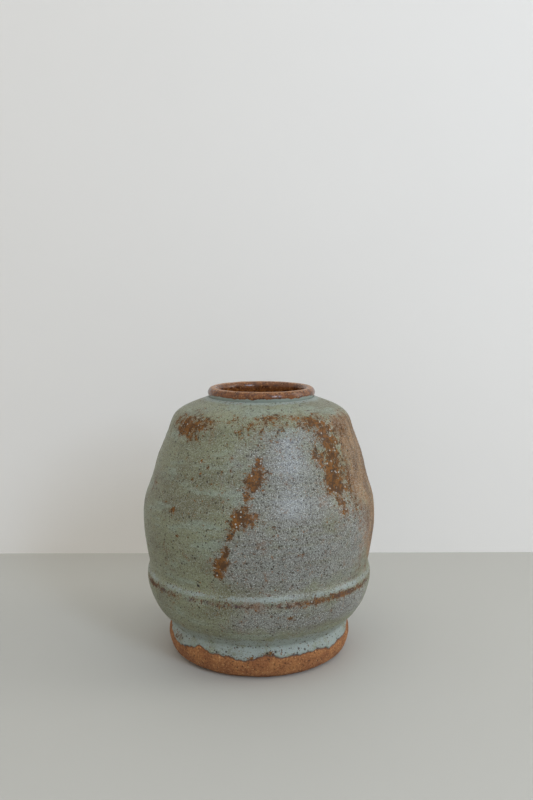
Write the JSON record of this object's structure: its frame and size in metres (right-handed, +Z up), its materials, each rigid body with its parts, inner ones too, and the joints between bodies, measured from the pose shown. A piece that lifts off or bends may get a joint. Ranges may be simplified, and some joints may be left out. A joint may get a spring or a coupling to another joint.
{
  "type": "stoneware vase",
  "caption": "Wheel-thrown stoneware vase with a barrel body, a ridge round the lower belly, a bare foot ring, a rounded shoulder and a narrow mouth with a rolled lip.",
  "frame": {"origin": "middle of the foot, on the surface the vase stands on", "axes": "+Z up along the axis of the wheel; -Y is the side with the large rust streak, which faces the viewer"},
  "size_m": [0.1222, 0.1222, 0.14],
  "materials": {
    "bare_stoneware": "unglazed, iron-bearing, gritty and matt",
    "joining_slip": "fired clay slip, matt",
    "grey_green_glaze": "satin grey-green ash glaze that breaks to rust where thin, speckled with iron",
    "iron_glaze": "glossy red-brown iron glaze",
    "liner_glaze": "glossy dark brown iron glaze"
  },
  "bodies": {
    "root": {"foot_ring": "bare_stoneware", "lower_bowl": "bare_stoneware", "upper_body": "bare_stoneware", "rolled_lip": "bare_stoneware", "joining_slip": "joining_slip", "outer_glaze": "grey_green_glaze", "lip_glaze": "iron_glaze", "liner_glaze": "liner_glaze"}
  },
  "joints": []
}
